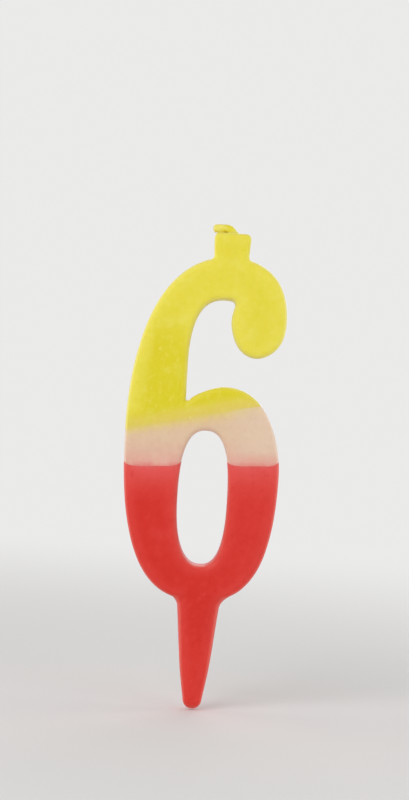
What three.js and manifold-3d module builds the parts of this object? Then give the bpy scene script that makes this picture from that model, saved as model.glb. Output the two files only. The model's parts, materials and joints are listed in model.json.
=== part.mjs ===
// Number six birthday candle, in millimetres, +Z up.
//
// A white paraffin numeral is moulded in one piece with a wick boss on its crown and a cake spike
// under its bowl. The top is dipped in yellow wax and the bottom in red wax, and a white band shows
// between them. A cotton wick is set in the boss. Its free end is waxed and folded flat over the
// boss, and is bent upright before the candle is lit.
//
// The origin is on the spike's axis at the cake line, where the bowl meets the cake. The front faces
// -Y and +X is to the right seen from the front.

import * as THREE from "three";
import { mergeVertices } from "three/addons/utils/BufferGeometryUtils.js";
import Module from "manifold-3d";

const wasm = await Module();
wasm.setup();

// Numeral, measured from the spike's axis and the cake line
const crownHeight = 79.2;
const crownX = 3;
const bodyLeft = 19.4;
const bodyRight = 16.6;
const thickness = 9;
const edgeRadius = 1.3;
const bellyHeight = 38.5; // where the stem's outer side is upright
const bowlSideHeight = 29.5; // where the bowl's outer side is upright
const bowlHeight = 49.4;
const bowlDip = 0.2; // how far the bowl reaches into the cake
const stemWidth = 13.45;
const stemStraightHeight = 54;
const hookStroke = 9.75;
const archX = 1.8;
const ballWidth = 12.7;
const ballSetback = 0.4; // ball's outer side behind the bowl's
const ballHeight = 22.85; // crown to the bottom of the ball
const ballSideDrop = 14.4; // crown to where the ball's sides are upright
const crotchRise = 3.2; // bowl's top down to the crotch
const cornerRadius = 0.9;

// Closed counter of the bowl
const counterLeftWall = 13;
const counterRightWall = 11.5;
const counterFloor = 8;
const counterRoof = 10.5;
const counterPower = 2.5; // 2 is an ellipse, more is squarer
const counterLean = 0.35; // its floor sits this far to the right of its roof

// Wick boss
const bossWidth = 8.3;
const bossX = 2.6;
const bossRise = 5.5; // above the crown
const bossCorner = 0.9;
const bossEdgeRadius = 0.85; // under the corner, so that cutting back stays clean
const bossFillet = 1;
const bossRoot = 5; // how far its sides run down into the crown

// Cake spike
const spikeLength = 25.4;
const spikeRootWidth = 10.1;
const spikeTipWidth = 4.6;
const spikeSetback = 0.1; // front and back of its root behind the faces of the numeral
const spikeTipDepth = 4.4;
const spikeDome = 2.6;
const spikeFlare = 0.9;
const spikeRoot = 4; // how far it runs up into the bowl
const spikePower = 4.5;

// Dip coats. A coat's edge is a slanting waterline, level at the spike's axis.
const coatWall = 0.4;
const coatGap = 0.3; // between a coat and the moulding it covers
const bandSink = 0.2; // bare band below the coats' surface
const yellowLine = { height: 43, slope: 13.4 };
const redLine = { height: 31.3, slope: 3.3 };

// Wick
const wickDiameter = 1.1;
const wickBoreClearance = 0.25;
const wickEndWall = 2; // wax left under the wick, above the hook's arch
const wickWaxWall = 0.3;
const wickWaxGap = 0.1;
const foldClearance = 0.3;
const foldReach = 4.3; // fold to the wick's free end

// Mesh fineness
const curveSteps = 10;
const bossSteps = 3;
const bevelSteps = 2;
const counterSteps = 36;
const spikeSides = 28;
const roundSides = 16;

// Places that follow from the sizes
const stemInnerX = -bodyLeft + stemWidth;
const archHeight = crownHeight - hookStroke;
const ballRightX = bodyRight - ballSetback;
const ballLeftX = ballRightX - ballWidth;
const ballBottomX = (ballLeftX + ballRightX) / 2;
const ballBottomHeight = crownHeight - ballHeight;
const ballSideHeight = crownHeight - ballSideDrop;
const crotchHeight = bowlHeight - crotchRise;
const bossTop = crownHeight + bossRise;
const spikeRootDepth = thickness - 2 * spikeSetback;
const wickBottom = archHeight + wickEndWall;
const wickRadius = wickDiameter / 2;
const wickWaxBore = wickRadius + wickWaxGap;
const wickWaxRadius = wickWaxBore + wickWaxWall;
const foldHeight = bossTop + foldClearance + wickWaxRadius;

const yellowWax = new THREE.MeshStandardMaterial({ color: 0xe6dc3c, roughness: 0.5, metalness: 0 });
const whiteWax = new THREE.MeshStandardMaterial({ color: 0xe8d2bc, roughness: 0.5, metalness: 0 });
const redWax = new THREE.MeshStandardMaterial({ color: 0xdc3c38, roughness: 0.5, metalness: 0 });
const cotton = new THREE.MeshStandardMaterial({ color: 0xf0ead8, roughness: 0.9, metalness: 0 });

// Draws a quarter turn from where the path is to (x, y). It leaves upright or level and arrives the
// other way. Each fullness is the share of the way to the corner that its handle reaches.
function quarterTurn(path, x, y, leaves, firstFullness, lastFullness) {
  const from = path.currentPoint;
  const dx = x - from.x;
  const dy = y - from.y;
  if (leaves === "upright")
    path.bezierCurveTo(from.x, from.y + dy * firstFullness, x - dx * lastFullness, y, x, y);
  else
    path.bezierCurveTo(from.x + dx * firstFullness, from.y, x, y - dy * lastFullness, x, y);
}

// Front outline of the numeral, anticlockwise from the crown, with its counter as a hole.
function numeralShape() {
  const shape = new THREE.Shape();
  shape.moveTo(crownX, crownHeight);
  quarterTurn(shape, -bodyLeft, bellyHeight, "level", 0.84, 0.38);
  quarterTurn(shape, 0, -bowlDip, "upright", 0.96, 0.4);
  quarterTurn(shape, bodyRight, bowlSideHeight, "level", 0.6, 0.78);
  quarterTurn(shape, crownX, bowlHeight, "upright", 0.38, 0.78);
  // over the bowl and down into the crotch, which is rounded
  shape.bezierCurveTo(
    crownX - 2.1, bowlHeight,
    stemInnerX + 3, crotchHeight + 1.65,
    stemInnerX + 1.2, crotchHeight + 0.4,
  );
  shape.quadraticCurveTo(
    stemInnerX + 0.5, crotchHeight - 0.1,
    stemInnerX + 0.2, crotchHeight + 1.2,
  );
  shape.quadraticCurveTo(stemInnerX, crotchHeight + 3.4, stemInnerX, stemStraightHeight);
  quarterTurn(shape, archX, archHeight, "upright", 0.66, 0.72);
  // under the hook and round the notch beside the ball
  shape.lineTo(ballLeftX - 0.2, archHeight - 0.1);
  shape.quadraticCurveTo(
    ballLeftX + cornerRadius, archHeight - 0.3,
    ballLeftX + 0.55, archHeight - 1.7,
  );
  shape.quadraticCurveTo(ballLeftX, archHeight - 3.2, ballLeftX, ballSideHeight);
  quarterTurn(shape, ballBottomX, ballBottomHeight, "upright", 0.36, 0.74);
  quarterTurn(shape, ballRightX, ballSideHeight, "level", 0.24, 0.84);
  quarterTurn(shape, crownX, crownHeight, "upright", 0.92, 0.26);
  shape.holes.push(counterPath());
  return shape;
}

// A closed ring of points on a superellipse.
function superellipse(centreX, centreY, halfWidth, halfHeight, power, steps) {
  const points = [];
  for (let i = 0; i < steps; i++) {
    const turn = (i / steps) * 2 * Math.PI;
    const across = Math.sign(Math.cos(turn)) * Math.abs(Math.cos(turn)) ** (2 / power);
    const up = Math.sign(Math.sin(turn)) * Math.abs(Math.sin(turn)) ** (2 / power);
    points.push(new THREE.Vector2(centreX + halfWidth * across, centreY + halfHeight * up));
  }
  return points;
}

function counterPath() {
  const left = -bodyLeft + counterLeftWall;
  const right = bodyRight - counterRightWall;
  const bottom = counterFloor;
  const top = bowlHeight - counterRoof;
  const middle = (bottom + top) / 2;
  const loop = superellipse(
    (left + right) / 2, middle,
    (right - left) / 2, (top - bottom) / 2,
    counterPower, counterSteps,
  );
  for (const p of loop) {
    const below = Math.max(0, middle - p.y) / (middle - bottom);
    p.x += counterLean * below ** 2;
  }
  return new THREE.Path(loop);
}

// Front outline of the boss, with fillets where its sides meet the crown.
function bossShape() {
  const left = bossX - bossWidth / 2;
  const right = bossX + bossWidth / 2;
  const seat = crownHeight - bossFillet;
  const shape = new THREE.Shape();
  shape.moveTo(left - bossFillet, seat - bossRoot);
  shape.lineTo(right + bossFillet, seat - bossRoot);
  shape.lineTo(right + bossFillet, seat);
  shape.quadraticCurveTo(right, seat + 0.2 * bossFillet, right, seat + 1.5 * bossFillet);
  const arcHeight = bossTop - bossCorner;
  shape.absarc(right - bossCorner, arcHeight, bossCorner, 0, Math.PI / 2, false);
  shape.absarc(left + bossCorner, arcHeight, bossCorner, Math.PI / 2, Math.PI, false);
  shape.lineTo(left, seat + 1.5 * bossFillet);
  shape.quadraticCurveTo(left, seat + 0.2 * bossFillet, left - bossFillet, seat);
  shape.closePath();
  return shape;
}

// A plate of the numeral's thickness with round edges, cut back by inset all over.
function plate(shape, edge, inset, steps) {
  const round = edge - inset;
  const depth = thickness - 2 * edge;
  const geometry = new THREE.ExtrudeGeometry(shape, {
    depth,
    bevelThickness: round,
    bevelSize: round,
    bevelOffset: -edge,
    bevelSegments: bevelSteps,
    curveSegments: steps,
  });
  return geometry.translate(0, 0, -depth / 2).rotateX(Math.PI / 2);
}

// A closed skin over rings of points, each ring anticlockwise seen from above, from bottom to top.
function loft(rings) {
  const sides = rings[0].length;
  const positions = [];
  const index = [];
  const centre = (ring) => ring.reduce((sum, p) => sum.add(p), new THREE.Vector3()).divideScalar(sides);
  for (const ring of rings) for (const p of ring) positions.push(p.x, p.y, p.z);
  for (const end of [centre(rings[0]), centre(rings.at(-1))]) positions.push(end.x, end.y, end.z);
  const bottom = rings.length * sides;
  const lastRing = (rings.length - 1) * sides;
  for (let i = 0; i < sides; i++) {
    const next = (i + 1) % sides;
    index.push(bottom, next, i);
    index.push(bottom + 1, lastRing + i, lastRing + next);
    for (let low = 0; low < lastRing; low += sides) {
      const high = low + sides;
      index.push(low + i, low + next, high + next, low + i, high + next, high + i);
    }
  }
  return new THREE.BufferGeometry()
    .setAttribute("position", new THREE.Float32BufferAttribute(positions, 3))
    .setIndex(index);
}

// Half of the spike's width or depth at a distance below the cake line, above its dome.
function taper(rootSize, tipSize, below) {
  const share = below / (spikeLength - spikeDome);
  return THREE.MathUtils.lerp(rootSize, tipSize, share) / 2;
}

function spike(inset) {
  const rings = [];
  const domeTop = spikeLength - spikeDome;
  const addRing = (below, halfWidth, halfDepth) =>
    rings.push(
      superellipse(0, 0, halfWidth - inset, halfDepth - inset, spikePower, spikeSides).map(
        (p) => new THREE.Vector3(p.x, p.y, -below),
      ),
    );
  for (const turn of [80, 55, 30]) {
    const shrink = Math.cos(THREE.MathUtils.degToRad(turn));
    const below = domeTop + (spikeDome - inset) * Math.sin(THREE.MathUtils.degToRad(turn));
    addRing(
      below,
      inset + (spikeTipWidth / 2 - inset) * shrink,
      inset + (spikeTipDepth / 2 - inset) * shrink,
    );
  }
  for (const share of [1, 0.75, 0.5, 0.25]) {
    const below = domeTop * share;
    addRing(
      below,
      taper(spikeRootWidth, spikeTipWidth, below),
      taper(spikeRootDepth, spikeTipDepth, below),
    );
  }
  // the root flares out to meet the bowl, a little above the cake line
  for (const share of [1, 0.65, 0.35, 0.12, 0]) {
    const below = spikeFlare * (2.2 * share - 0.4);
    const flare = spikeFlare * (1 - share) ** 2;
    addRing(
      below,
      taper(spikeRootWidth, spikeTipWidth, below) + flare,
      taper(spikeRootDepth, spikeTipDepth, below),
    );
  }
  addRing(-spikeRoot, spikeRootWidth / 2 + spikeFlare, spikeRootDepth / 2);
  return loft(rings);
}

// A closed geometry as a manifold solid.
function solid(geometry) {
  const bare = geometry.index ? geometry.toNonIndexed() : geometry.clone();
  bare.deleteAttribute("normal");
  bare.deleteAttribute("uv");
  const merged = mergeVertices(bare, 1e-4);
  return new wasm.Manifold(
    new wasm.Mesh({
      numProp: 3,
      vertProperties: merged.attributes.position.array,
      triVerts: new Uint32Array(merged.index.array),
    }),
  );
}

function namedMesh(name, made, material) {
  const { numProp, numVert, vertProperties, triVerts } = made.getMesh();
  const positions = new Float32Array(numVert * 3);
  for (let i = 0; i < numVert; i++)
    positions.set(vertProperties.subarray(i * numProp, i * numProp + 3), i * 3);
  const geometry = new THREE.BufferGeometry()
    .setAttribute("position", new THREE.BufferAttribute(positions, 3))
    .setIndex(new THREE.BufferAttribute(triVerts, 1));
  geometry.computeVertexNormals();
  const mesh = new THREE.Mesh(geometry, material);
  mesh.name = name;
  return mesh;
}

// The whole wax form, cut back by inset all over.
function waxForm(inset) {
  return solid(plate(numeralShape(), edgeRadius, inset, curveSteps))
    .add(solid(plate(bossShape(), bossEdgeRadius, inset, bossSteps)))
    .add(solid(spike(inset)));
}

// Everything on the upper or the lower side of a waterline, raised by lift.
function sideOf(line, side, lift) {
  const size = 4 * (crownHeight + spikeLength);
  const block = new THREE.BoxGeometry(size, size, size);
  block.translate(0, 0, side === "above" ? size / 2 : -size / 2);
  block.rotateY(-THREE.MathUtils.degToRad(line.slope));
  return solid(block.translate(0, 0, line.height + lift));
}

// An upright round bar at the boss's centre.
function wickBar(radius, bottom, top) {
  const bar = new THREE.CylinderGeometry(radius, radius, top - bottom, roundSides);
  return bar.rotateX(Math.PI / 2).translate(bossX, 0, (bottom + top) / 2);
}

// A bar with round ends from the fold to the wick's free end.
function foldedBar(radius, reach) {
  const bar = new THREE.CapsuleGeometry(radius, reach - radius, 4, roundSides);
  return bar.rotateZ(Math.PI / 2).translate(bossX - (reach - radius) / 2, 0, foldHeight);
}

const outer = waxForm(0);
const coatInside = waxForm(coatWall);
const covered = waxForm(coatWall + coatGap);
const bore = solid(wickBar(wickRadius + wickBoreClearance, wickBottom, 2 * bossTop));

// The moulding is one piece: covered under the coats, and fuller where the band is bare.
const band = waxForm(bandSink)
  .intersect(sideOf(redLine, "above", coatGap))
  .intersect(sideOf(yellowLine, "below", -coatGap));
const moulding = covered.add(band).subtract(bore);

const yellowCoat = outer
  .intersect(sideOf(yellowLine, "above", 0))
  .subtract(coatInside)
  .subtract(bore);
const redCoat = outer.intersect(sideOf(redLine, "below", 0)).subtract(coatInside);

const wick = solid(wickBar(wickRadius, wickBottom + wickBoreClearance, bossTop));

// The folded end turns about the fold, so its short lower leg stays inside the round end there.
const foldLeg = (radius) => solid(wickBar(radius, foldHeight - wickWaxRadius, foldHeight));
const wickTip = solid(foldedBar(wickRadius, foldReach - wickWaxWall)).add(foldLeg(wickRadius));
const wickTipWax = solid(foldedBar(wickWaxRadius, foldReach))
  .subtract(solid(foldedBar(wickWaxBore, foldReach - wickWaxWall + wickWaxGap)))
  .subtract(solid(wickBar(wickWaxBore, bossTop, foldHeight)));

const candle = new THREE.Group();
candle.add(namedMesh("wax_moulding", moulding, whiteWax));
candle.add(namedMesh("yellow_dip_coat", yellowCoat, yellowWax));
candle.add(namedMesh("red_dip_coat", redCoat, redWax));
candle.add(namedMesh("wick", wick, cotton));
candle.add(namedMesh("wick_tip", wickTip, cotton));
candle.add(namedMesh("wick_tip_wax", wickTipWax, yellowWax));

export default candle;
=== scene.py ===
"""Number six birthday candle: its wax, its dip coats and its wick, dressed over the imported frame.

Lengths are in millimetres until a mesh is finished, and the last step of each piece turns them into
metres. The front faces -Y, Z is up, and the origin is on the spike's axis at the cake line.
"""

import json
import math

import bmesh
import bpy
import numpy as np
from mathutils import Matrix, Vector, geometry, kdtree, noise


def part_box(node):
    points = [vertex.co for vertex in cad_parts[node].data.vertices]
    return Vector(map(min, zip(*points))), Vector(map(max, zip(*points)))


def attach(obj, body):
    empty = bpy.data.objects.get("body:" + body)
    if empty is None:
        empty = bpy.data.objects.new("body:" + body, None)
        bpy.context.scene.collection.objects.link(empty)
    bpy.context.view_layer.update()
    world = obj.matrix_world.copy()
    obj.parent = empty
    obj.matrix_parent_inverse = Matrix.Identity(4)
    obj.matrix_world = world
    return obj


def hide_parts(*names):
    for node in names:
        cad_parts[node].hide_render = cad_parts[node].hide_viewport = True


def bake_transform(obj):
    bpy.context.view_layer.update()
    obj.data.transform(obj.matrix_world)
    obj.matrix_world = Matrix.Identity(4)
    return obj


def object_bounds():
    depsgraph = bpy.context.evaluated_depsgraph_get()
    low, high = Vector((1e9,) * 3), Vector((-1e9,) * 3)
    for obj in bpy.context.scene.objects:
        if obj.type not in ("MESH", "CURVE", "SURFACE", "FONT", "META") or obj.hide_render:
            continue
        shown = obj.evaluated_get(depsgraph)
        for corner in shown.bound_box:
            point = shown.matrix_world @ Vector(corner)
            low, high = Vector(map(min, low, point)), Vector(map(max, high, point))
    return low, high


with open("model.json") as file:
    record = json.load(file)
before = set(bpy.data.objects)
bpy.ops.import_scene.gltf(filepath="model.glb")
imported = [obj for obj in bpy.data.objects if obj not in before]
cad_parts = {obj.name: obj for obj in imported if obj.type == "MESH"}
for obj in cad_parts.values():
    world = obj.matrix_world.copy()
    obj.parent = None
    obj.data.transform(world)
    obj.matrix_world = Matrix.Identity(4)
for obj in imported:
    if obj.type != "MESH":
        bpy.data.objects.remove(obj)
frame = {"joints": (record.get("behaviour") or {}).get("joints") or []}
cad_box = [list(corner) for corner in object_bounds()]

MM = 0.001


def in_mm(place):
    """A place in the frame, in millimetres to a hundredth."""
    return [round(c / MM, 2) for c in place]


# What the frame gives: how far the two dips reach, and where the wick bends
YELLOW_LOW, YELLOW_HIGH = (in_mm(corner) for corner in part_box("yellow_dip_coat"))
RED_LOW, RED_HIGH = (in_mm(corner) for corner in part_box("red_dip_coat"))
WICK_PIVOT = in_mm(frame["joints"][0]["pos_m"])

# The numeral
CROWN_HEIGHT = 79.2
CROWN_X = 3.0
BODY_LEFT = -YELLOW_LOW[0]
BODY_RIGHT = RED_HIGH[0]
THICKNESS = YELLOW_HIGH[1] - YELLOW_LOW[1]
EDGE_RADIUS = 1.3
BELLY_HEIGHT = 38.5
BOWL_SIDE_HEIGHT = 29.5
BOWL_HEIGHT = 49.4
BOWL_DIP = 0.2
STEM_INNER_X = -5.95
STEM_STRAIGHT_HEIGHT = 54.0
ARCH_X = 1.8
ARCH_HEIGHT = 69.45
BALL_LEFT_X = 3.5
BALL_RIGHT_X = YELLOW_HIGH[0]
BALL_BOTTOM_HEIGHT = 56.35
BALL_SIDE_HEIGHT = 64.8
CROTCH_HEIGHT = 46.2

# The closed counter of the bowl
COUNTER_CENTRE = (-0.65, 23.45)
COUNTER_HALF = (5.75, 15.45)
COUNTER_POWER = 2.5
COUNTER_LEAN = 0.35  # its floor sits this far to the right of its roof
COUNTER_STEPS = 220

# The boss and the spike
BOSS_X = WICK_PIVOT[0]  # the wick stands in the middle of the boss
BOSS_WIDTH = 8.3
BOSS_TOP = YELLOW_HIGH[2]
BOSS_CORNER = 0.9
BOSS_EDGE = 0.85
BOSS_FILLET = 1.0
BOSS_FLARE = 0.12
SPIKE_LENGTH = -RED_LOW[2]
SPIKE_ROOT = (10.1, 8.8)
SPIKE_TIP = (4.6, 4.4)
SPIKE_DOME = 2.6
SPIKE_FILLET = {"foot": -1.7, "height": 3.2, "reach": 2.4}
SPIKE_POWER = 4.2
SPIKE_SIDES = 64
SPIKE_FULLNESS = 0.09  # how much fuller than a straight taper it is

# The dips: height of each waterline at the spike's axis, and its rise to the right
YELLOW_LINE = (42.9, math.tan(math.radians(13.4)))
RED_LINE = (31.0, math.tan(math.radians(3.3)))
RED_MENISCUS = 0.85  # how far each waterline climbs beside the edges of the faces
YELLOW_MENISCUS = -0.25  # this one drops
MENISCUS_REACH = 0.9
WAVER_SEEDS = {"yellow": 3.1, "red": 11.7}
WAVERS = ((0.16, 5.0, 0), (0.07, 1.7, 7))  # height, length and seed of a waterline's wavering
BAND_SINK = 0.09  # depth of the bare wax below the coats' surface, in the band
COVERED_SINK = 0.5  # and where a coat covers it
COVERED_FROM = (0.12, 0.8)  # it sinks between these distances past a waterline
LIP_TUCK = 0.55  # how far a coat's edge turns into the moulding
# The yellow coat feathers out, and the red one ends in a round lip
YELLOW_LIP = {"round": False, "depth": 0.075, "width": 1.6, "rows": (0.0, 0.3)}
RED_LIP = {"round": True, "depth": 0.06, "width": 0.4, "rows": (0.0, 0.06, 0.16, 0.32)}

# The groove that runs on from the crotch into the body: where it starts, its way and its size
CROTCH_GROOVE = {
    "start": (-5.5, 46.15),
    "way": (-0.78, -0.62),
    "length": 1.5,
    "width": 0.42,
    "depth": 0.34,
}

# The wax surface: how fine it is, and the unevenness that moulding and dipping leave
SKIN_VOXEL = 0.3
SMOOTHING_ROUNDS = 4
SWELLS = {"height": 0.05, "lumps": (7.0, 7.0, 9.0), "seed": 20.3}
RUNS = {"height": 0.025, "lumps": (1.6, 1.6, 14.0), "seed": 41.9}
SURFACE_SINK = 0.035  # so that only the highest swells stand proud of the plain form

# The wick
WICK_END_X = -1.86
WICK_BOTTOM = 71.75
STRAND_RADIUS = 0.27
BRAID_RADIUS = 0.3
WAX_RADIUS = 0.94
COTTON_SHOWS = 0.12  # past the wax, at the cut end
END_ROUND = 0.2  # of the wax's edge there
WICK_SIDES = 40
BRAID_TURNS = 9.0
BRAID_STEPS = 150
STRAND_SIDES = 10

# The studio, in metres. Each lamp has its place, its size and its power
BACKGROUND = (0.83, 0.825, 0.82, 1.0)
AMBIENT = 0.37
FLOOR_RADIUS = 2.5
FLOOR_SIDES = 64
FLOOR_FADE = (0.1, 0.5)  # the floor turns into the background between these distances
FLOOR_GAP = 0.24 * MM  # below the tip of the spike
LAMP_AIM = (0, 0, 0.035)
SOFTBOXES = {
    "key": ((-0.3, -0.46, 0.34), 0.4, 1.72),
    "fill": ((0.42, -0.4, 0.14), 0.45, 0.75),
    "left_edge": ((-0.5, 0.12, 0.12), 0.35, 0.55),
    "right_edge": ((0.5, 0.12, 0.16), 0.35, 0.7),
    "back_light": ((0.1, 0.5, 0.3), 0.4, 0.65),
}


# ---------------------------------------------------------------- outlines

OUTLINE_STEP = 0.3


def cubic(a, b, c, d, steps):
    """Points on a cubic curve after its first point."""
    t = (np.arange(steps) + 1)[:, None] / steps
    a, b, c, d = (np.array(p, float) for p in (a, b, c, d))
    return a * (1 - t) ** 3 + b * 3 * t * (1 - t) ** 2 + c * 3 * t * t * (1 - t) + d * t**3


class Outline:
    """A closed line drawn from point to point."""

    def __init__(self, x, z):
        self.points = [np.array([x, z], float)]

    def curve(self, b, c, d):
        """A cubic curve to d, with its handles at b and c."""
        a = self.points[-1]
        span = sum(np.linalg.norm(np.subtract(q, p)) for p, q in ((a, b), (b, c), (c, d)))
        self.points += list(cubic(a, b, c, d, max(2, int(span / OUTLINE_STEP))))
        return self

    def bend(self, corner, end):
        """A curve that leaves and arrives towards a corner."""
        a, corner, end = self.points[-1], np.array(corner), np.array(end)
        return self.curve(a + (corner - a) * 2 / 3, end + (corner - end) * 2 / 3, end)

    def line(self, end):
        a, end = self.points[-1], np.array(end)
        return self.curve(a + (end - a) / 3, a + (end - a) * 2 / 3, end)

    def quarter(self, x, z, leaves, first, last):
        """A quarter turn whose handles reach those shares of the way to its corner."""
        ax, az = self.points[-1]
        dx, dz = x - ax, z - az
        if leaves == "upright":
            return self.curve((ax, az + dz * first), (x - dx * last, z), (x, z))
        return self.curve((ax + dx * first, az), (x, z - dz * last), (x, z))

    def loop(self):
        points = np.array(self.points)
        step = np.linalg.norm(points - np.roll(points, 1, axis=0), axis=1)
        return points[step > 1e-6]


def numeral_outline():
    """Round the six once, from the crown down its left side."""
    path = Outline(CROWN_X, CROWN_HEIGHT)
    path.quarter(-BODY_LEFT, BELLY_HEIGHT, "level", 0.84, 0.38)
    path.quarter(0, -BOWL_DIP, "upright", 0.96, 0.4)
    path.quarter(BODY_RIGHT, BOWL_SIDE_HEIGHT, "level", 0.6, 0.78)
    path.quarter(CROWN_X, BOWL_HEIGHT, "upright", 0.38, 0.78)
    path.curve(
        (CROWN_X - 2.1, BOWL_HEIGHT),
        (STEM_INNER_X + 3, CROTCH_HEIGHT + 1.6),
        (STEM_INNER_X + 0.95, CROTCH_HEIGHT),
    )
    path.bend(
        (STEM_INNER_X + 0.2, CROTCH_HEIGHT - 0.65),
        (STEM_INNER_X + 0.05, CROTCH_HEIGHT + 0.7),
    )
    path.bend((STEM_INNER_X, CROTCH_HEIGHT + 3.4), (STEM_INNER_X, STEM_STRAIGHT_HEIGHT))
    path.quarter(ARCH_X, ARCH_HEIGHT, "upright", 0.66, 0.72)
    path.line((BALL_LEFT_X - 0.2, ARCH_HEIGHT - 0.1))
    path.bend(
        (BALL_LEFT_X + 0.9, ARCH_HEIGHT - 0.3), (BALL_LEFT_X + 0.55, ARCH_HEIGHT - 1.7)
    )
    path.bend((BALL_LEFT_X, ARCH_HEIGHT - 3.2), (BALL_LEFT_X, BALL_SIDE_HEIGHT))
    middle = (BALL_LEFT_X + BALL_RIGHT_X) / 2
    path.quarter(middle, BALL_BOTTOM_HEIGHT, "upright", 0.36, 0.74)
    path.quarter(BALL_RIGHT_X, BALL_SIDE_HEIGHT, "level", 0.24, 0.84)
    path.quarter(CROWN_X, CROWN_HEIGHT, "upright", 0.92, 0.26)
    return path.loop()


def superellipse(half_width, half_height, power, steps):
    """An oval that grows squarer with its power. A power of 2 is a plain ellipse."""
    turn = np.arange(steps) * 2 * math.pi / steps
    across = np.sign(np.cos(turn)) * np.abs(np.cos(turn)) ** (2 / power)
    up = np.sign(np.sin(turn)) * np.abs(np.sin(turn)) ** (2 / power)
    return np.stack([half_width * across, half_height * up], axis=1)


def counter_outline():
    loop = superellipse(*COUNTER_HALF, COUNTER_POWER, COUNTER_STEPS)
    below = np.clip(-loop[:, 1] / COUNTER_HALF[1], 0, 1)
    loop[:, 0] += COUNTER_LEAN * below**2
    return (loop + COUNTER_CENTRE)[::-1]


def boss_outline():
    """The square boss that the wick stands in, with its foot inside the crown."""
    left, right = BOSS_X - BOSS_WIDTH / 2, BOSS_X + BOSS_WIDTH / 2
    seat = CROWN_HEIGHT - BOSS_FILLET
    path = Outline(left - BOSS_FILLET, seat - 5)
    path.line((right + BOSS_FILLET, seat - 5))
    path.line((right + BOSS_FILLET, seat))
    path.bend((right - 0.1, seat + 0.2), (right - 0.1, seat + 1.5 * BOSS_FILLET))
    path.line((right + BOSS_FLARE, BOSS_TOP - 1.5 * BOSS_CORNER))
    path.bend((right + BOSS_FLARE, BOSS_TOP), (right - 1.4 * BOSS_CORNER, BOSS_TOP))
    path.line((left + 1.6 * BOSS_CORNER, BOSS_TOP - 0.05))
    path.bend(
        (left - BOSS_FLARE, BOSS_TOP - 0.1),
        (left - BOSS_FLARE, BOSS_TOP - 1.6 * BOSS_CORNER),
    )
    path.line((left + 0.1, seat + 1.5 * BOSS_FILLET))
    path.bend((left + 0.1, seat + 0.2), (left - BOSS_FILLET, seat))
    path.line((left - BOSS_FILLET, seat - 5))
    return path.loop()


# ---------------------------------------------------------------- the wax form


def new_mesh(name, points, faces):
    mesh = bpy.data.meshes.new(name)
    mesh.from_pydata([tuple(p) for p in points], [], [tuple(f) for f in faces])
    mesh.update()
    return mesh


def pulled_in(loop, distance):
    """A loop moved to its left by a distance, which is inwards for an anticlockwise one."""
    before = loop - np.roll(loop, 1, axis=0)
    after = np.roll(loop, -1, axis=0) - loop
    before /= np.linalg.norm(before, axis=1)[:, None]
    after /= np.linalg.norm(after, axis=1)[:, None]
    along = before + after
    along /= np.linalg.norm(along, axis=1)[:, None]
    miter = 1 / np.maximum(0.7, (along * before).sum(axis=1))
    inward = np.stack([-along[:, 1], along[:, 0]], axis=1)
    return loop + inward * (distance * miter)[:, None]


def round_edged_plate(name, loops, edge):
    """A plate of the candle's thickness over the loops, with round front and back edges."""
    half = THICKNESS / 2
    turns = [math.radians(a) for a in (90, 72, 54, 36, 18, 0)]
    rings = [(edge * (1 - math.cos(t)), -(half - edge) - edge * math.sin(t)) for t in turns]
    rings += [(inset, -y) for inset, y in reversed(rings)]
    points, faces, ends = [], [], ([], [])
    for loop in loops:
        count, start = len(loop), len(points)
        for inset, y in rings:
            points += [(x, y, z) for x, z in pulled_in(loop, inset)]
        for r in range(len(rings) - 1):
            for i in range(count):
                a, b = start + r * count + i, start + r * count + (i + 1) % count
                faces.append((a, b, b + count, a + count))
        for side, first in enumerate((start, start + (len(rings) - 1) * count)):
            ends[side].append(range(first, first + count))
    for side, groups in enumerate(ends):
        flat = [i for group in groups for i in group]
        rims = [[Vector((points[i][0], points[i][2], 0)) for i in g] for g in groups]
        for tri in geometry.tessellate_polygon(rims):
            a, b, c = (flat[i] for i in tri)
            pa, pb, pc = (np.array(points[i])[[0, 2]] for i in (a, b, c))
            turn = np.cross(pb - pa, pc - pa)
            faces.append((a, b, c) if (turn > 0) == (side == 0) else (a, c, b))
    return new_mesh(name, points, faces)


def lofted(name, rings):
    """A closed skin over rings of equal length, from bottom to top."""
    sides = len(rings[0])
    points = [tuple(p) for ring in rings for p in ring]
    faces = [tuple(reversed(range(sides)))]
    for r in range(len(rings) - 1):
        for i in range(sides):
            a, b = r * sides + i, r * sides + (i + 1) % sides
            faces.append((a, b, b + sides, a + sides))
    top = (len(rings) - 1) * sides
    faces.append(tuple(range(top, top + sides)))
    return new_mesh(name, points, faces)


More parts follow.
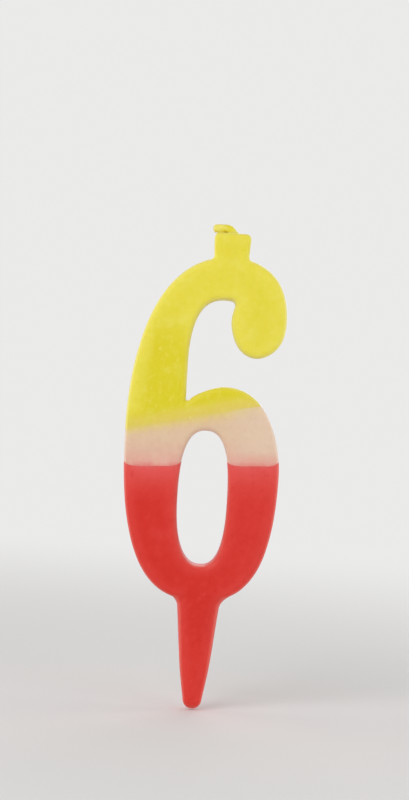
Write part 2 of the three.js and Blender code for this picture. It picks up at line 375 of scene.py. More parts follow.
def spike_mesh():
    """The tapered spike, from its domed tip up through its fillets into the bowl."""
    rings = []

    def ring(below, half_width, half_depth):
        section = superellipse(half_width, half_depth, SPIKE_POWER, SPIKE_SIDES)
        rings.append([(x, y, -below) for x, y in section])

    shoulder = SPIKE_LENGTH - SPIKE_DOME

    def taper(axis, below):
        share = below / shoulder
        # fullest about two thirds of the way down
        share -= SPIKE_FULLNESS * math.sin(math.pi * max(0, share) ** 1.5)
        return (SPIKE_ROOT[axis] + (SPIKE_TIP[axis] - SPIKE_ROOT[axis]) * share) / 2

    for degrees in (86, 75, 60, 45, 30, 15):
        t = math.radians(degrees)
        ring(
            shoulder + SPIKE_DOME * math.sin(t),
            SPIKE_TIP[0] / 2 * math.cos(t) ** 0.9,
            SPIKE_TIP[1] / 2 * math.cos(t) ** 0.9,
        )
    for share in np.linspace(1, 0.12, 16):
        ring(shoulder * share, taper(0, shoulder * share), taper(1, shoulder * share))
    for share in np.linspace(0, 1, 10):
        below = -(SPIKE_FILLET["foot"] + SPIKE_FILLET["height"] * share)
        flare = SPIKE_FILLET["reach"] * share**2.2
        ring(below, taper(0, below) + flare, taper(1, max(0, below)))
    ring(-4, SPIKE_ROOT[0] / 2 + SPIKE_FILLET["reach"], SPIKE_ROOT[1] / 2)
    return lofted("spike", rings)


def mound_mesh(name, centre_x, profile):
    """A low mound of wax on top of the boss, from its heights, half lengths and half depths."""
    rings = []
    for height, half_length, half_depth in profile:
        section = superellipse(half_length, half_depth, 2, 32)
        rings.append([(centre_x + x, y, BOSS_TOP + height) for x, y in section])
    return lofted(name, rings)


def collar_mesh():
    """The little cone of wax that the wick stands in."""
    cone = ((-1.2, 2.1), (-0.05, 2.0), (0.14, 1.68), (0.4, 1.34), (0.68, 1.04), (0.86, 0.8))
    return mound_mesh("collar", BOSS_X, [(z, r, 0.95 * r) for z, r in cone])


def bed_mesh():
    """The puddle of wax that the folded wick lies over."""
    profile = ((-1.2, 2.7, 1.6), (0.0, 2.55, 1.5), (0.26, 2.3, 1.1), (0.44, 1.9, 0.7))
    return mound_mesh("bed", BOSS_X - 1.5, profile)


def smoothed(co, edges, rounds):
    """Taubin smoothing: it takes the voxel grid's ripple out and keeps the size."""
    count = np.zeros(len(co))
    np.add.at(count, edges[:, 0], 1)
    np.add.at(count, edges[:, 1], 1)
    for _ in range(rounds):
        for strength in (0.55, -0.57):
            total = np.zeros_like(co)
            for axis in range(3):
                total[:, axis] = np.bincount(
                    edges[:, 0], co[edges[:, 1], axis], len(co)
                ) + np.bincount(edges[:, 1], co[edges[:, 0], axis], len(co))
            co = co + strength * (total / count[:, None] - co)
    return co


def point_values(mesh, field="co"):
    """Where a mesh's points are, or another three numbers that each of them has."""
    values = np.zeros(len(mesh.vertices) * 3)
    mesh.vertices.foreach_get(field, values)
    return values.reshape(-1, 3)


def edge_ends(mesh):
    """The two points that each edge joins."""
    ends = np.zeros(len(mesh.edges) * 2, np.int32)
    mesh.edges.foreach_get("vertices", ends)
    return ends.reshape(-1, 2)


def wax_form():
    """The candle as one soft skin: numeral, boss, spike and the wick's wax foot, melted together."""
    parts = [
        round_edged_plate("numeral", [numeral_outline(), counter_outline()], EDGE_RADIUS),
        round_edged_plate("boss", [boss_outline()], BOSS_EDGE),
        spike_mesh(),
        collar_mesh(),
        bed_mesh(),
    ]
    joined = bmesh.new()
    for part in parts:
        joined.from_mesh(part)
        bpy.data.meshes.remove(part)
    mesh = bpy.data.meshes.new("form")
    joined.to_mesh(mesh)
    joined.free()
    form = bpy.data.objects.new("form", mesh)
    bpy.context.scene.collection.objects.link(form)
    remesh = form.modifiers.new("melt", "REMESH")
    remesh.mode = "VOXEL"
    remesh.voxel_size = SKIN_VOXEL
    skin = bpy.data.meshes.new_from_object(
        form.evaluated_get(bpy.context.evaluated_depsgraph_get())
    )
    bpy.data.objects.remove(form)
    bpy.data.meshes.remove(mesh)
    co = smoothed(point_values(skin), edge_ends(skin), SMOOTHING_ROUNDS)
    skin.vertices.foreach_set("co", co.ravel())
    skin.update()
    return skin


def edge_distance(co, normals):
    """How far each point lies from the nearest side wall, across the face."""
    wall_facing = 0.35  # a wall faces the front or the back less than this
    walls = np.nonzero(np.abs(normals[:, 1]) < wall_facing)[0]
    tree = kdtree.KDTree(len(walls))
    for i, v in enumerate(walls):
        tree.insert((co[v, 0], 0.0, co[v, 2]), i)
    tree.balance()
    return np.array([tree.find((x, 0.0, z))[2] for x, _, z in co])


def soft_noise(co, scale, seed):
    """Smooth noise from -1 to 1 at each point. scale is its size along X, Y and Z."""
    at = co / np.array(scale) + seed
    return np.array([noise.noise(Vector(p)) for p in at])


def step_up(x, low, high):
    """0 below low, 1 above high and smooth between."""
    t = np.clip((x - low) / (high - low), 0, 1)
    return t * t * (3 - 2 * t)


def waterline_height(co, away, line, meniscus, seed):
    """Height of each point above a waterline that climbs at the edges and wavers a little."""
    climb = meniscus * np.exp(-away / MENISCUS_REACH)
    waver = sum(
        height * soft_noise(co, (length, length, 30.0), seed + more)
        for height, length, more in WAVERS
    )
    return co[:, 2] - (line[0] + line[1] * co[:, 0] + climb + waver)


def measured(skin):
    """What the pieces need to know about each point of the form."""
    co, normals = point_values(skin), point_values(skin, "normal")
    away = edge_distance(co, normals)
    yellow = (YELLOW_LINE, YELLOW_MENISCUS, WAVER_SEEDS["yellow"])
    red = (RED_LINE, RED_MENISCUS, WAVER_SEEDS["red"])
    return {
        "nx": normals[:, 0],
        "ny": normals[:, 1],
        "nz": normals[:, 2],
        "away": away,
        "above_yellow": waterline_height(co, away, *yellow),
        "above_red": waterline_height(co, away, *red),
    }


def handled(co):
    """How far moulding and dipping leave each point proud: swells and runs, less the groove."""
    uneven = sum(w["height"] * soft_noise(co, w["lumps"], w["seed"]) for w in (SWELLS, RUNS))
    return uneven - SURFACE_SINK - groove(co)


def groove(co):
    """Depth of the groove that runs on from the crotch."""
    across = co[:, [0, 2]] - CROTCH_GROOVE["start"]
    way = np.array(CROTCH_GROOVE["way"])
    along, off = across @ way, across @ np.array([-way[1], way[0]])
    fade = 1 - step_up(along, -0.1, CROTCH_GROOVE["length"])
    fade *= step_up(along, -1.2, -0.2)
    return CROTCH_GROOVE["depth"] * fade * np.exp(-((off / CROTCH_GROOVE["width"]) ** 2))


def finished(name, mesh, material, slot_name, *nodes):
    """Makes a piece of a mesh in millimetres, standing for those CAD nodes."""
    mesh.transform(Matrix.Scale(MM, 4))
    mesh.name = name
    mesh.polygons.foreach_set("use_smooth", [True] * len(mesh.polygons))
    mesh.materials.clear()
    mesh.materials.append(material)
    piece = bpy.data.objects.new(name, mesh)
    bpy.context.scene.collection.objects.link(piece)
    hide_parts(*nodes)
    return piece


def add_attributes(mesh, **values):
    """Stores numbers on a mesh's points, under their names."""
    for name, numbers in values.items():
        made = mesh.attributes.get(name) or mesh.attributes.new(name, "FLOAT", "POINT")
        made.data.foreach_set("value", np.asarray(numbers, np.float32))


def moulding_mesh(skin, facts):
    """The white wax: just under the surface in the band, and deeper under the coats."""
    past_lines = (facts["above_yellow"], -facts["above_red"])
    under = sum(step_up(past, *COVERED_FROM) for past in past_lines)
    depth = BAND_SINK + (COVERED_SINK - BAND_SINK) * under
    body = skin.copy()
    normals = np.stack([facts["nx"], facts["ny"], facts["nz"]], axis=1)
    body.vertices.foreach_set("co", (point_values(skin) - normals * depth[:, None]).ravel())
    add_attributes(body, rim=1 - np.abs(facts["ny"]), middle=facts["away"])
    body.update()
    return body


def lip_drop(height, lip):
    """How far the coat thins at that height from its edge."""
    back = max(0.0, 1 - height / lip["width"])
    if lip["round"]:
        return lip["depth"] * (1 - math.sqrt(1 - min(1.0, back) ** 2))
    return lip["depth"] * back * back * (3 - 2 * back)


def coat_mesh(skin, facts, above, sign, lip):
    """The part of the form on one side of a waterline, with a thin lip, closed inside."""
    names = ["nx", "ny", "nz", "away"]
    made = bmesh.new()
    made.from_mesh(skin)
    layers = {n: made.verts.layers.float.new(n) for n in names}
    level = made.verts.layers.float.new("level")

    def outward_at(v):
        return Vector([v[layers[n]] for n in ("nx", "ny", "nz")]).normalized()

    heights = sign * facts[above]
    for i, v in enumerate(made.verts):
        for n in names:
            v[layers[n]] = facts[n][i]
        v[level] = v.co.z
        v.co.z = heights[i]
    # cut in a space where the waterline is flat, with extra rows along the lip
    for height in lip["rows"]:
        bmesh.ops.bisect_plane(
            made,
            geom=made.verts[:] + made.edges[:] + made.faces[:],
            plane_co=(0, 0, height),
            plane_no=(0, 0, 1),
            clear_inner=height == 0.0,
            dist=1e-5,
        )
    for v in made.verts:
        height = v.co.z
        v.co.z = v[level]
        v.co -= outward_at(v) * lip_drop(height, lip)
    # tuck the open edge into the moulding and close it
    rim = [e for e in made.edges if e.is_boundary]
    for e in rim:
        e.smooth = lip["round"]
    grown = bmesh.ops.extrude_edge_only(made, edges=rim)["geom"]
    tucked = [g for g in grown if isinstance(g, bmesh.types.BMVert)]
    for v in tucked:
        v.co -= outward_at(v) * LIP_TUCK
    inner = [e for e in made.edges if e.is_boundary]
    bmesh.ops.holes_fill(made, edges=inner, sides=0)
    bmesh.ops.triangulate(made, faces=[f for f in made.faces if len(f.verts) > 4])
    bmesh.ops.recalc_face_normals(made, faces=made.faces[:])
    mesh = bpy.data.meshes.new(above)
    made.to_mesh(mesh)
    made.free()
    away, side = np.zeros(len(mesh.vertices)), np.zeros(len(mesh.vertices))
    mesh.attributes["away"].data.foreach_get("value", away)
    mesh.attributes["ny"].data.foreach_get("value", side)
    for n in names + ["level"]:
        mesh.attributes.remove(mesh.attributes[n])
    add_attributes(mesh, rim=1 - np.abs(side), middle=away)
    return mesh


# ---------------------------------------------------------------- shader nodes


class Value:
    """A number from a node. Arithmetic on it adds Math nodes."""

    def __init__(self, shader, socket):
        self.shader, self.socket = shader, socket

    def _math(self, operation, *values):
        made = self.shader.node("ShaderNodeMath", {"operation": operation}, values)
        return made.value()

    def __add__(self, other):
        return self._math("ADD", self, other)

    def __sub__(self, other):
        return self._math("SUBTRACT", self, other)

    def __rsub__(self, other):
        return self._math("SUBTRACT", other, self)

    def __mul__(self, other):
        return self._math("MULTIPLY", self, other)

    def __truediv__(self, other):
        return self._math("DIVIDE", self, other)

    __radd__, __rmul__ = __add__, __mul__

    def size(self):
        return self._math("ABSOLUTE", self)

    def soft_step(self, low, high):
        """0 below low, 1 above high and smooth between."""
        made = self.shader.node(
            "ShaderNodeMapRange",
            {"interpolation_type": "SMOOTHSTEP"},
            {"Value": self, "From Min": low, "From Max": high},
        )
        return made.value("Result")


class Made:
    """A node that a shader has made."""

    def __init__(self, shader, node):
        self.shader, self.node = shader, node

    def value(self, output=0):
        return Value(self.shader, self.node.outputs[output])

    def out(self, output=0):
        return self.node.outputs[output]


class Shader:
    """A material and the nodes in it."""

    def __init__(self, name):
        self.material = bpy.data.materials.new(name)
        self.material.use_nodes = True
        self.tree = self.material.node_tree
        self.tree.nodes.clear()
        self.output = self.node("ShaderNodeOutputMaterial")

    def node(self, kind, settings=None, inputs=None):
        """Makes a node: its settings first, then the values or links of its sockets."""
        made = self.tree.nodes.new(kind)
        for key, value in (settings or {}).items():
            if key == "stops":
                self.set_stops(made.color_ramp, value)
            else:
                setattr(made, key, value)
        pairs = inputs.items() if isinstance(inputs, dict) else enumerate(inputs or [])
        for key, value in pairs:
            self.plug(made.inputs[key], value)
        return Made(self, made)

    def plug(self, socket, value):
        if isinstance(value, Made):
            value = value.out()
        if isinstance(value, Value):
            value = value.socket
        if isinstance(value, bpy.types.NodeSocket):
            self.tree.links.new(value, socket)
        elif value is not None:
            socket.default_value = value

    @staticmethod
    def set_stops(ramp, stops):
        while len(ramp.elements) < len(stops):
            ramp.elements.new(0.5)
        for element, (place, tone) in zip(ramp.elements, stops):
            element.position, element.color = place, tone

    def fade(self, height, stops):
        """A colour from a height in millimetres, between colours at given heights."""
        low, high = stops[0][0], stops[-1][0]
        placed = [((h - low) / (high - low), tone) for h, tone in stops]
        share = (height - low) / (high - low)
        return self.node("ShaderNodeValToRGB", {"stops": placed}, [share]).out()

    def edge(self):
        """1 along the round edges of the faces, and little on the side walls: where pale rims are
        painted, as a painted highlight and, on the coats, a thinner coat.
        """
        rim = self.attribute("rim")
        return rim.soft_step(0.06, 0.42) * (1 - rim.soft_step(0.5, 0.95) * 0.85)

    def attribute(self, name):
        made = self.node("ShaderNodeAttribute", {"attribute_name": name})
        return made.value("Fac")

    def place(self, scale=(1, 1, 1)):
        """Object coordinates in millimetres, stretched by scale."""
        here = self.node("ShaderNodeTexCoord").out("Object")
        stretch = tuple(s / MM for s in scale)
        return self.node(
            "ShaderNodeVectorMath", {"operation": "MULTIPLY"}, [here, stretch]
        ).out()

    def axis(self, name):
        made = self.node("ShaderNodeSeparateXYZ", {}, [self.place()])
        return made.value(name)

    def noise(self, size, detail=2.0, roughness=0.5, stretch=(1, 1, 1)):
        """Noise of about 0 to 1, with lumps of that size in millimetres."""
        made = self.node(
            "ShaderNodeTexNoise",
            {"noise_dimensions": "3D"},
            {
                "Vector": self.place(stretch),
                "Scale": 1 / size,
                "Detail": detail,
                "Roughness": roughness,
            },
        )
        return made.value(0)

    def specks(self, spacing, size):
        """1 on small round specks, each in a cell of that spacing, in millimetres."""
        made = self.node(
            "ShaderNodeTexVoronoi",
            {"feature": "F1"},
            {"Vector": self.place(), "Scale": 1 / spacing},
        )
        return 1 - made.value("Distance").soft_step(size * 0.5, size)

    def mix(self, amount, first, second):
        """A colour between two others."""
        made = self.tree.nodes.new("ShaderNodeMix")
        made.data_type = "RGBA"
        self.plug(made.inputs[0], amount)
        self.plug(made.inputs[6], first)
        self.plug(made.inputs[7], second)
        return made.outputs[2]

    def bump(self, height):
        """A normal from a height in millimetres."""
        sizes = {"Strength": 1.0, "Distance": MM, "Height": height}
        return self.node("ShaderNodeBump", {}, sizes).out()


def colour(red, green, blue):
    """A colour from its 0 to 255 screen values."""

    def linear(c):
        c /= 255
        return c / 12.92 if c <= 0.04045 else ((c + 0.055) / 1.055) ** 2.4

    return (linear(red), linear(green), linear(blue), 1.0)


WAX_COLOURS = {
    "rich_yellow": colour(223, 209, 28),
    "yellow": colour(235, 222, 78),
    "yellow_rim": colour(244, 233, 126),
    "band": colour(227, 197, 166),
    "pale_band": colour(232, 208, 185),
    "bright_red": colour(230, 77, 70),
    "red": colour(217, 45, 33),
    "red_rim": colour(243, 118, 107),
}

# Colours near the waterlines, where the wax is stained for a few millimetres. The first two go by
# the height above the yellow and the red line, and the last by the depth below the red one
YELLOW_FADE = (
    (-3.0, WAX_COLOURS["band"]),
    (-1.7, colour(228, 200, 154)),
    (-0.9, colour(229, 203, 137)),
    (-0.2, colour(229, 206, 114)),
    (0.6, colour(229, 208, 97)),
    (1.9, colour(228, 210, 84)),
    (3.2, colour(225, 210, 58)),
    (5.0, WAX_COLOURS["rich_yellow"]),
)
PINK_FADE = (
    (-0.5, colour(228, 120, 113)),
    (0.3, colour(230, 145, 134)),
    (1.1, colour(230, 173, 157)),
    (3.8, colour(227, 188, 164)),
    (7.0, WAX_COLOURS["band"]),
)
RED_FADE = (
    (-0.3, colour(224, 104, 101)),
    (1.0, colour(231, 86, 83)),
    (3.0, colour(226, 74, 68)),
    (5.0, colour(222, 59, 51)),
    (8.5, WAX_COLOURS["red"]),
)


def wax_surface(shader, base, roughness):
    """Ends a wax material: grain, swells, the mould's seam and the soft shine of dipped wax."""
    rim = shader.attribute("rim")
    swell = shader.noise(3.2, 2.0)
    runs = shader.noise(1.0, 2.0, 0.5, (1, 1, 0.12))
    grain = shader.noise(0.16, 3.0, 0.6)
    pits = shader.specks(2.1, 0.09) * shader.noise(6.0).soft_step(0.5, 0.62)
    seam = 1 - (shader.axis("Y").size()).soft_step(0.05, 0.34)
    height = (
        swell * 0.09
        + runs * 0.022
        + grain * 0.012
        - pits * 0.05
        + seam * rim.soft_step(0.75, 0.95) * 0.03
    )
    haze = shader.noise(2.4, 4.0, 0.62)
    rough = roughness + haze * 0.2 + grain * 0.06 - runs * 0.05
    surface = shader.node(
        "ShaderNodeBsdfPrincipled",
        {"subsurface_method": "RANDOM_WALK"},
        {
            "Base Color": base,
            "Roughness": rough,
            "IOR": 1.43,
            "Specular IOR Level": 0.32,
            "Normal": shader.bump(height),
            "Subsurface Weight": 0.16,
            "Subsurface Scale": 0.0006,
            "Subsurface Radius": (1.0, 0.55, 0.3),
        },
    )
    shader.plug(shader.output.node.inputs["Surface"], surface)
    return shader.material


def above_line(shader, line):
    """Height above a waterline, in millimetres."""
    return shader.axis("Z") - (shader.axis("X") * line[1] + line[0])


def waver(shader):
    """How far a colour's edge wanders, in millimetres."""
    return (shader.noise(2.6, 2.0) - 0.5) * 0.8


def wax_mottle(shader, base, light, dark, amount=1.0):
    """Cloudy depth in the wax, with a few pale crystals under its surface."""
    clouds = shader.noise(5.5, 3.0, 0.55)
    base = shader.mix(clouds.soft_step(0.5, 0.78) * (0.22 * amount), base, light)
    base = shader.mix((1 - clouds).soft_step(0.52, 0.8) * (0.2 * amount), base, dark)
    curds = shader.noise(1.3, 4.0, 0.65)
    base = shader.mix(curds.soft_step(0.5, 0.72) * (0.2 * amount), base, light)
    base = shader.mix((1 - curds).soft_step(0.5, 0.72) * (0.3 * amount), base, dark)
    streaks = shader.noise(0.9, 3.0, 0.55, (1, 1, 0.1))
    base = shader.mix(streaks.soft_step(0.55, 0.8) * (0.16 * amount), base, light)
    crystals = shader.specks(1.7, 0.11) * shader.noise(4.0, 2.0).soft_step(0.5, 0.6)
    base = shader.mix(crystals * (0.32 * amount), base, light)
    return shader.mix(shader.specks(4.6, 0.085) * (0.4 * amount), base, light)


def yellow_wax():
    """Yellow dip, richer where it lies thick, pale on its rims where it ran thin and a highlight is
    painted, and deeper in the crotch as painted shade.
    """
    s = Shader("yellow_dip_wax")
    tone, middle = WAX_COLOURS, s.attribute("middle")
    over = above_line(s, YELLOW_LINE) + waver(s)
    # the yellow is deeper towards the bottom of the coat, and deepest low on the stem's inner side
    # and in the crotch: painted shade in and round the crease
    low = 1 - (s.axis("Z") + s.axis("X") * 0.6).soft_step(48, 64)
    inside = low * s.axis("X").soft_step(-16, -10)
    boss = s.axis("Z").soft_step(77, 81)
    # richer away from the edges, where the coat lies thick; the paler edges also carry a painted
    # highlight, and the crotch term adds painted shade
    depth = (middle + inside * 4).soft_step(0.6, 5.5) * (0.35 + 0.57 * low) + boss * 0.25
    base = s.mix(depth, tone["yellow"], tone["rich_yellow"])
    base = s.mix(1 - over.soft_step(1.6, 5.0), base, s.fade(over, YELLOW_FADE))
    base = wax_mottle(s, base, tone["yellow_rim"], tone["rich_yellow"])
    # pale rims: a thinner coat on the round edges and a painted highlight, held back in the crotch,
    # where shade is painted, and on the boss
    base = s.mix(s.edge() * (0.75 - (inside + boss) * 0.4), base, tone["yellow_rim"])
    return wax_surface(s, base, 0.3)


def white_wax():
    """Bare white wax, stained by the dips near both waterlines."""
    s = Shader("white_moulded_wax")
    wander = waver(s)
    over = above_line(s, RED_LINE) + wander
    base = s.fade(above_line(s, YELLOW_LINE) + wander, YELLOW_FADE)
    base = s.mix(1 - over.soft_step(4.0, 9.0), base, s.fade(over, PINK_FADE))
    right = s.axis("X").soft_step(0, 13)
    base = s.mix(right * over.soft_step(1.0, 4.0) * 0.6, base, WAX_COLOURS["pale_band"])
    base = wax_mottle(s, base, colour(240, 216, 194), colour(216, 176, 144), 0.8)
    # pale rims along the round edges: a painted highlight
    base = s.mix(s.edge() * 0.5, base, colour(243, 218, 198))
    return wax_surface(s, base, 0.32)


def red_wax():
    """Red dip, pink at its waterline, brighter near its edges and pink on its rims where the coat is
    thin and a highlight is painted, and brighter down the spike.
    """
    s = Shader("red_dip_wax")
    tone, middle = WAX_COLOURS, s.attribute("middle")
    under = waver(s) - above_line(s, RED_LINE)
    base = s.fade(under, RED_FADE)
    # brighter red within a few millimetres of the edges: a thinner coat and a painted sheen on the
    # round edges
    base = s.mix((1 - middle.soft_step(0.4, 3.4)) * 0.4, base, tone["bright_red"])
    base = s.mix(s.axis("X").soft_step(0, 13) * 0.18, base, tone["bright_red"])
    spike = 1 - s.axis("Z").soft_step(-22, 0)
    base = s.mix(spike * 0.45, base, colour(236, 66, 54))
    base = wax_mottle(s, base, tone["bright_red"], colour(206, 34, 24), 1.0)
    # pink rims: a thinner coat on the round edges and a painted highlight
    base = s.mix(s.edge() * 0.52, base, tone["red_rim"])
    return wax_surface(s, base, 0.3)


def wick_wax():
    """The yellow dip on the folded wick, palest towards its tip, a painted highlight on the lit
    fold, and paler over its strands, a painted shading of their twist.
    """
    s = Shader("wick_wax")
    turn, tip = s.attribute("lay"), s.attribute("tip")
    # paler towards the end of the wick: a painted highlight
    base = s.mix(tip.soft_step(0.25, 0.85), colour(230, 217, 52), colour(240, 226, 106))
    # paler over the strands: painted shading of the twist
    base = s.mix(turn.soft_step(0.3, 0.95) * 0.3, base, colour(243, 234, 132))
    base = s.mix(s.noise(0.7, 2.0).soft_step(0.5, 0.8) * 0.25, base, colour(240, 230, 140))
    return wax_surface(s, base, 0.3)


def cotton():
    """Cotton fibre soaked in wax."""
    s = Shader("braided_cotton")
    fibre = s.noise(0.07, 3.0, 0.6, (1, 1, 0.2))
    base = s.mix(fibre.soft_step(0.3, 0.7), colour(214, 200, 140), colour(244, 238, 208))
    base = s.mix(s.noise(0.5, 2.0).soft_step(0.4, 0.7) * 0.6, base, colour(232, 220, 118))
    surface = s.node(
        "ShaderNodeBsdfPrincipled",
        {},
        {
            "Base Color": base,
            "Roughness": 0.75 + fibre * 0.2,
            "Normal": s.bump(fibre * 0.03),
            "Sheen Weight": 0.3,
        },
    )
    s.plug(s.output.node.inputs["Surface"], surface)
    return s.material


# ---------------------------------------------------------------- the wick


def wick_path():
    """Centreline of the wick: up out of the boss and folded flat to the left."""
    x, _, z = WICK_PIVOT
    path = Outline(x, WICK_BOTTOM)
    path.line((x, BOSS_TOP - 0.2))
    path.curve((x + 0.02, BOSS_TOP + 0.3), (x - 0.1, z - 0.65), (x - 0.58, z - 0.28))
    path.curve((x - 1.1, z + 0.09), (x - 1.7, z + 0.08), (x - 2.3, z + 0.04))
    path.line((WICK_END_X, z - 0.1))
    return np.array(path.points)


def along_path(path, spacing):
    """Points at an even spacing on a path, with its direction at each."""
    step = np.linalg.norm(np.diff(path, axis=0), axis=1)
    reach = np.concatenate([[0], np.cumsum(step)])
    at = np.linspace(0, reach[-1], int(reach[-1] / spacing) + 1)
    points = np.stack([np.interp(at, reach, path[:, k]) for k in (0, 1)], axis=1)
    heading = np.gradient(points, axis=0)
    heading /= np.linalg.norm(heading, axis=1)[:, None]
    return at, points, heading


def wick_wax_mesh():
    """Wax on the exposed wick. The three strands show through it as a slow twist."""
    path = wick_path()
    path = path[path[:, 1] > BOSS_TOP - 0.7]
    at, points, heading = along_path(path, 0.09)
    length = at[-1]
    rings, lay, tip = [], [], []
    for s, p, h in zip(at, points, heading):
        left = length - s
        radius = WAX_RADIUS + 0.05 * math.sin(1.9 * s + 0.6) + 0.06 * math.exp(-left / 0.5)
        if left < END_ROUND:
            radius -= END_ROUND * (1 - math.sqrt(max(0, 1 - (1 - left / END_ROUND) ** 2)))
        ring = []
        for i in range(WICK_SIDES):
            turn = 2 * math.pi * i / WICK_SIDES
            strand = 0.5 + 0.5 * math.cos(3 * turn - 2.6 * s)
            lump = noise.noise(Vector((math.cos(turn), math.sin(turn), s * 1.3 + 5)))
            r = radius * (1 + 0.09 * (strand**0.7 - 0.6) + 0.05 * lump)
            across, deep = r * math.cos(turn), r * math.sin(turn)
            ring.append((p[0] + across * h[1], deep * 0.94, p[1] - across * h[0]))
            lay.append(strand)
            tip.append(s / length)
        rings.append(ring)
    # the end dishes in round the cut strands
    end = np.array([points[-1][0], 0, points[-1][1]])
    out = np.array([heading[-1][0], 0, heading[-1][1]])
    cut = np.array(rings[-1])
    for share, dish in ((0.8, 0.02), (0.62, -0.1)):
        rings.append(end + (cut - end) * share + out * dish)
        lay += [0.3] * WICK_SIDES
        tip += [1.0] * WICK_SIDES
    mesh = lofted("wick_wax", rings)
    fixed = bmesh.new()
    fixed.from_mesh(mesh)
    bmesh.ops.recalc_face_normals(fixed, faces=fixed.faces[:])
    fixed.to_mesh(mesh)
    fixed.free()
    add_attributes(mesh, lay=lay, tip=tip, rim=np.zeros(len(lay)))
    return mesh


def braid_tree(material):
    """Geometry nodes that twist three strands along a path."""
    tree = bpy.data.node_groups.new("braided_wick", "GeometryNodeTree")
    sizes = {"Braid Radius": BRAID_RADIUS, "Strand Radius": STRAND_RADIUS, "Turns": BRAID_TURNS}
    tree.interface.new_socket("Path", in_out="INPUT", socket_type="NodeSocketGeometry")
    for name, size in sizes.items():
        made = tree.interface.new_socket(name, in_out="INPUT", socket_type="NodeSocketFloat")
        made.default_value = size
    tree.interface.new_socket("Braid", in_out="OUTPUT", socket_type="NodeSocketGeometry")

    def node(kind, settings=None, inputs=None):
        made = tree.nodes.new(kind)
        for key, value in (settings or {}).items():
            setattr(made, key, value)
        for key, value in (inputs or {}).items():
            if isinstance(value, bpy.types.NodeSocket):
                tree.links.new(value, made.inputs[key])
            else:
                made.inputs[key].default_value = value
        return made

    def maths(operation, a, b=0.0):
        return node("ShaderNodeMath", {"operation": operation}, {0: a, 1: b}).outputs[0]

    def vectors(operation, **inputs):
        keys = {"a": 0, "b": 1, "scale": "Scale"}
        made = node(
            "ShaderNodeVectorMath",
            {"operation": operation},
            {keys[k]: v for k, v in inputs.items()},
        )
        return made.outputs[0]

    given = node("NodeGroupInput").outputs
    line = node("GeometryNodeMeshToCurve", {}, {0: given["Path"]}).outputs[0]
    steps = {"Curve": line, "Count": BRAID_STEPS}
    line = node("GeometryNodeResampleCurve", {}, steps).outputs[0]
    way = node("GeometryNodeSplineParameter").outputs["Factor"]
    ahead = node("GeometryNodeInputTangent").outputs[0]
    sideways = (0.0, 1.0, 0.0)
    upward = vectors("CROSS_PRODUCT", a=ahead, b=sideways)
    ring = node(
        "GeometryNodeCurvePrimitiveCircle",
        {"mode": "RADIUS"},
        {"Resolution": STRAND_SIDES, "Radius": given["Strand Radius"]},
    ).outputs[0]
    joined = node("GeometryNodeJoinGeometry")
    for strand in range(3):
        turn = maths("MULTIPLY", maths("MULTIPLY", way, given["Turns"]), 2 * math.pi)
        turn = maths("ADD", turn, strand * 2 * math.pi / 3)
        across = maths("MULTIPLY", maths("COSINE", turn), given["Braid Radius"])
        along = maths("MULTIPLY", maths("SINE", turn), given["Braid Radius"])
        offset = vectors(
            "ADD",
            a=vectors("SCALE", a=sideways, scale=across),
            b=vectors("SCALE", a=upward, scale=along),
        )
        laid = node(
            "GeometryNodeSetPosition", {}, {"Geometry": line, "Offset": offset}
        ).outputs[0]
        tube = node(
            "GeometryNodeCurveToMesh",
            {},
            {"Curve": laid, "Profile Curve": ring, "Fill Caps": True},
        ).outputs[0]
        tree.links.new(tube, joined.inputs[0])
    real = node("GeometryNodeRealizeInstances", {}, {0: joined.outputs[0]}).outputs[0]
    smooth = node("GeometryNodeSetShadeSmooth", {}, {0: real}).outputs[0]
    dressed = node(
        "GeometryNodeSetMaterial", {}, {"Geometry": smooth, "Material": material}
    ).outputs[0]
    tree.links.new(dressed, node("NodeGroupOutput").inputs[0])
    return tree


def cotton_mesh(material):
    """The braid as a plain mesh, from inside the crown to just past the wax."""
    _, points, heading = along_path(wick_path(), 0.12)
    points = np.vstack([points, points[-1] + heading[-1] * COTTON_SHOWS])
    line = new_mesh("wick_line", [(x, 0.0, z) for x, z in points], [])
    line.edges.add(len(points) - 1)
    pairs = [i for k in range(len(points) - 1) for i in (k, k + 1)]
    line.edges.foreach_set("vertices", pairs)
    line.update()
    carrier = bpy.data.objects.new("wick_line", line)
    bpy.context.scene.collection.objects.link(carrier)
    braid = carrier.modifiers.new("braid", "NODES")
    braid.node_group = braid_tree(material)
    mesh = bpy.data.meshes.new_from_object(
        carrier.evaluated_get(bpy.context.evaluated_depsgraph_get())
    )
    bpy.data.objects.remove(carrier)
    return mesh


# ---------------------------------------------------------------- pieces

form = wax_form()
form_facts = measured(form)
swollen = point_values(form)
outward = np.stack([form_facts[k] for k in ("nx", "ny", "nz")], axis=1)
swollen += outward * handled(swollen)[:, None]
form.vertices.foreach_set("co", swollen.ravel())
form.update()

white_body = finished(
    "white_wax_body", moulding_mesh(form, form_facts), white_wax(), "white_wax", "wax_moulding"
)
yellow_skin = finished(
    "yellow_dip_skin",
    coat_mesh(form, form_facts, "above_yellow", 1, YELLOW_LIP),
    yellow_wax(),
    "yellow_wax",
    "yellow_dip_coat",
)
red_skin = finished(
    "red_dip_skin",
    coat_mesh(form, form_facts, "above_red", -1, RED_LIP),
    red_wax(),
    "red_wax",
    "red_dip_coat",
)
for piece in (white_body, yellow_skin, red_skin):
    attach(piece, "candle")

cotton_material = cotton()
cotton_wick = finished(
    "cotton_wick", cotton_mesh(cotton_material), cotton_material, "cotton", "wick", "wick_tip"
)
wick_skin = finished(
    "wick_wax_skin", wick_wax_mesh(), wick_wax(), "yellow_wax", "wick_tip_wax"
)
for piece in (cotton_wick, wick_skin):
    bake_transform(piece)


# ---------------------------------------------------------------- floor, light and camera


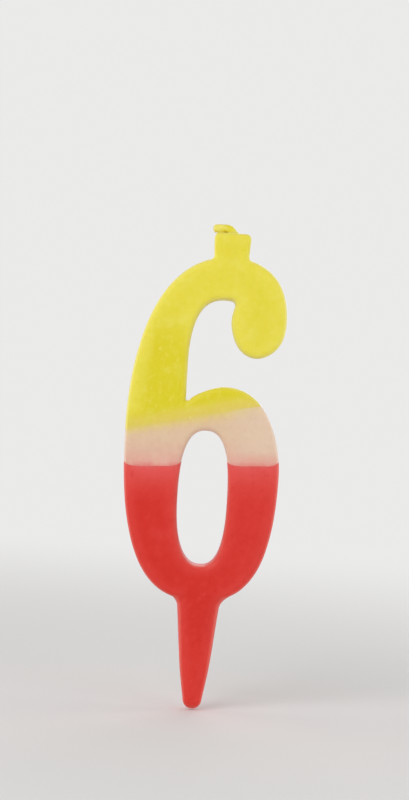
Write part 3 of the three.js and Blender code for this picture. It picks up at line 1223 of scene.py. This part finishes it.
def pale_floor():
    """A round floor under the spike that fades into the background."""
    turns = np.arange(FLOOR_SIDES) * 2 * math.pi / FLOOR_SIDES
    height = cad_box[0][2] - FLOOR_GAP
    ring = [(FLOOR_RADIUS * math.cos(t), FLOOR_RADIUS * math.sin(t), height) for t in turns]
    mesh = new_mesh("floor", ring, [range(len(ring))])
    floor = bpy.data.objects.new("floor", mesh)
    bpy.context.scene.collection.objects.link(floor)
    s = Shader("floor_paper")
    here = s.node("ShaderNodeTexCoord").out("Object")
    reach = s.node("ShaderNodeVectorMath", {"operation": "LENGTH"}, [here]).value("Value")
    paper = s.node(
        "ShaderNodeBsdfPrincipled", {}, {"Base Color": (0.8, 0.795, 0.79, 1), "Roughness": 0.9}
    )
    glow = s.node("ShaderNodeEmission", {}, {"Color": BACKGROUND, "Strength": 1.0})
    mixed = s.node(
        "ShaderNodeMixShader", {}, [reach.soft_step(*FLOOR_FADE), paper.out(), glow.out()]
    )
    s.plug(s.output.node.inputs["Surface"], mixed)
    mesh.materials.append(s.material)


def studio_world():
    """Plain soft light, and the background where a camera, gloss or glass looks past the floor."""
    world = bpy.data.worlds.new("studio")
    bpy.context.scene.world = world
    world.use_nodes = True
    nodes, links = world.node_tree.nodes, world.node_tree.links
    nodes.clear()
    rays = nodes.new("ShaderNodeLightPath")
    seen = rays.outputs["Is Camera Ray"]
    for kind in ("Is Glossy Ray", "Is Transmission Ray"):
        either = nodes.new("ShaderNodeMath")
        either.operation = "MAXIMUM"
        links.new(seen, either.inputs[0])
        links.new(rays.outputs[kind], either.inputs[1])
        seen = either.outputs[0]
    ambient, backdrop = (nodes.new("ShaderNodeBackground") for _ in range(2))
    ambient.inputs["Color"].default_value = (1.0, 0.99, 0.98, 1)
    ambient.inputs["Strength"].default_value = AMBIENT
    backdrop.inputs["Color"].default_value = BACKGROUND
    mixed = nodes.new("ShaderNodeMixShader")
    links.new(seen, mixed.inputs[0])
    links.new(ambient.outputs[0], mixed.inputs[1])
    links.new(backdrop.outputs[0], mixed.inputs[2])
    links.new(mixed.outputs[0], nodes.new("ShaderNodeOutputWorld").inputs[0])


def softbox(name, place, size, power):
    """A square lamp aimed at the middle of the candle."""
    lamp = bpy.data.lights.new(name, "AREA")
    lamp.shape, lamp.size, lamp.energy = "SQUARE", size, power
    box = bpy.data.objects.new(name, lamp)
    box.location = place
    aim = Vector(LAMP_AIM) - Vector(place)
    box.rotation_euler = aim.to_track_quat("-Z", "Y").to_euler()
    bpy.context.scene.collection.objects.link(box)


def camera():
    """Looks straight at the front, tilted so that the numeral leans a little to the right."""
    lens, sensor = 85.0, 36.0
    view_plane = 2 * MM  # in front of the middle of the candle
    view_height = 184.3 * MM  # of what is seen at that plane
    aim_x, aim_z = -1.57 * MM, 46.08 * MM
    lean = math.radians(3.7)
    data = bpy.data.cameras.new("camera")
    data.lens, data.sensor_width = lens, sensor
    distance = view_height * lens / sensor + view_plane
    data.clip_start, data.clip_end = 0.01, 20
    eye = bpy.data.objects.new("camera", data)
    eye.location = (aim_x, -distance, aim_z)
    turned = Matrix.Rotation(math.pi / 2, 3, "X") @ Matrix.Rotation(lean, 3, "Z")
    eye.rotation_euler = turned.to_euler()
    bpy.context.scene.collection.objects.link(eye)
    bpy.context.scene.camera = eye


pale_floor()
studio_world()
for lamp_name, (lamp_place, lamp_size, lamp_power) in SOFTBOXES.items():
    softbox(lamp_name, lamp_place, lamp_size, lamp_power)
camera()
bpy.context.scene.view_settings.view_transform = "Standard"
